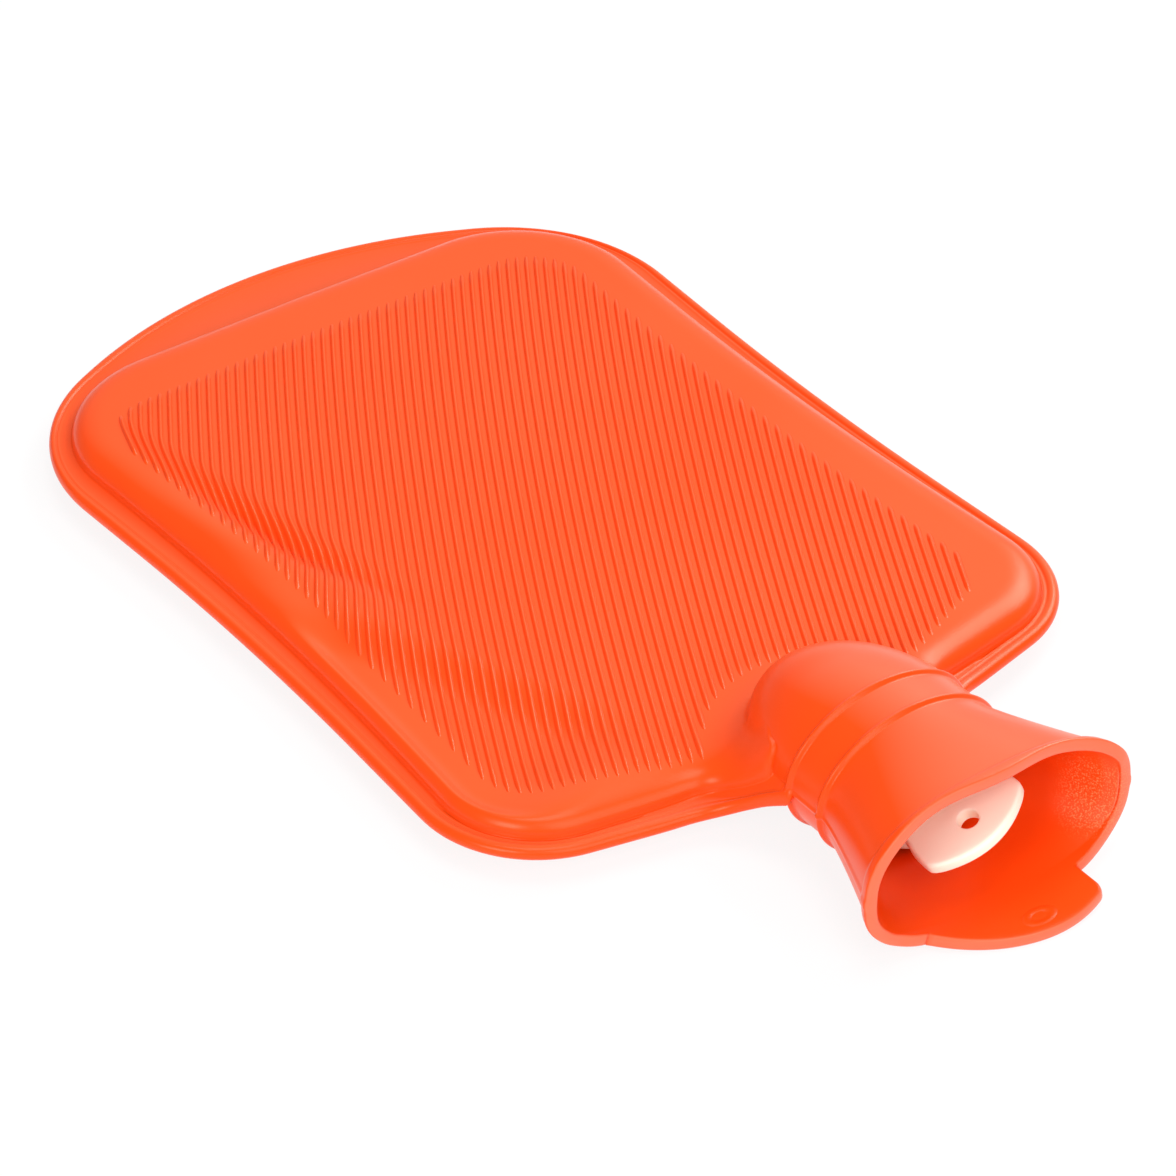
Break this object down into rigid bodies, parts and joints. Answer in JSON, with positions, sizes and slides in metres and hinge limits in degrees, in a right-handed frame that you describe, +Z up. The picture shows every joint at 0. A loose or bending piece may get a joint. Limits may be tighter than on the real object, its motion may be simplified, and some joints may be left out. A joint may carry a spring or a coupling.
{
  "type": "hot water bottle",
  "caption": "Flat moulded rubber hot water bottle with a ribbed panel, a seam flange, an oval collar, an open filling funnel with a tongue, and a screw stopper with a wing grip.",
  "frame": {"origin": "centre of the bottle's length and width, on the surface that its back panel lies on", "axes": "+X across the bottle, +Y along it from the mouth to the tail, +Z up from the back panel to the ribbed front"},
  "size_m": [0.1946, 0.3478, 0.0431],
  "materials": {
    "rubber_body": "satin moulded rubber",
    "insert_plastic": "moulded",
    "washer_rubber": "matt",
    "stopper_plastic": "smooth moulded"
  },
  "bodies": {
    "bag": {"bottle": "rubber_body", "neck_insert": "insert_plastic"},
    "washer": {"sealing_washer": "washer_rubber"},
    "screw_stopper": {"stopper": "stopper_plastic"}
  },
  "joints": [
    {"name": "stopper_travel", "type": "slide", "parent": "bag", "child": "washer", "axis": [0, -1, 0], "range_m": [0, 0.012]},
    {"name": "stopper_turn", "type": "hinge", "parent": "washer", "child": "screw_stopper", "pos_m": [0, -0.13, 0.0216], "axis": [0, -1, 0], "range_deg": [0, 1080]}
  ],
  "couplings": [
    {"joint": "stopper_travel", "follows": "stopper_turn", "m_per_rad": 0.00063662}
  ]
}
